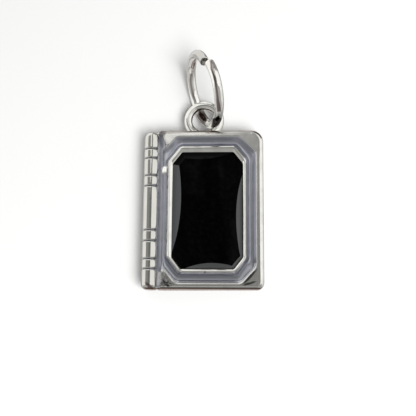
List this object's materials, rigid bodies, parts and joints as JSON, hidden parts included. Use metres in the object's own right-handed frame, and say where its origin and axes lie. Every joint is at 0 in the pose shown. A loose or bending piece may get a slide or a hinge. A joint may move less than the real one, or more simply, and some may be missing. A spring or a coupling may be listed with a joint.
{
  "type": "book charm",
  "caption": "Cast silver charm shaped as a closed book with a faceted black onyx in its cover, a soldered loop at the top and an open jump ring.",
  "frame": {"origin": "middle of the flat back cover, on the surface that the book lies on", "axes": "+Z out of the front cover, +Y along the book towards its loop, +X from the spine towards the opposite edge"},
  "size_m": [0.0136, 0.0266, 0.0086],
  "materials": {
    "cast_silver": "polished cast silver with dark patina in the hollows",
    "black_onyx": "polished, opaque",
    "silver_wire": "polished drawn wire"
  },
  "bodies": {
    "root": {"silver_book": "cast_silver", "onyx_stone": "black_onyx", "jump_ring": "silver_wire"}
  },
  "joints": []
}
